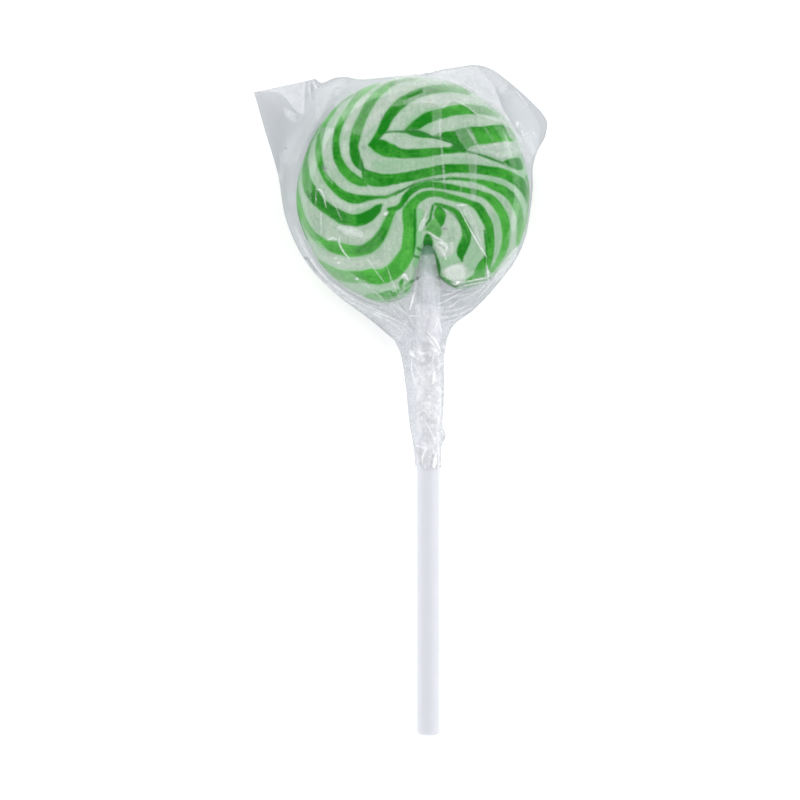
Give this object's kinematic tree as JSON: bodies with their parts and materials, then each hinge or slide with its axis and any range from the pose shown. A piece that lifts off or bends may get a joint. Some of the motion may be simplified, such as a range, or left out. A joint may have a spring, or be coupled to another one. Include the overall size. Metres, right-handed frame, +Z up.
{
  "type": "lollipop",
  "caption": "Swirl lollipop: a pressed green and white boiled-sugar head on a white stick, in a clear film bag gathered round the stick.",
  "frame": {"origin": "on the surface the lollipop lies on, under the stick's axis and level with the middle of the head along the stick", "axes": "-Y runs along the stick from the head to the stick's free end, +Z points up out of the shown face of the head, +X points to the right as seen from above with the head away from the viewer"},
  "size_m": [0.0507, 0.1157, 0.01],
  "materials": {
    "sugar": "glossy boiled sugar in pearl white with streaks of clear green",
    "stick": "smooth white rolled paper with a slight sheen",
    "film": "thin clear creased film"
  },
  "bodies": {
    "root": {"candy": "sugar", "stick": "stick", "wrapper": "film"}
  },
  "joints": []
}
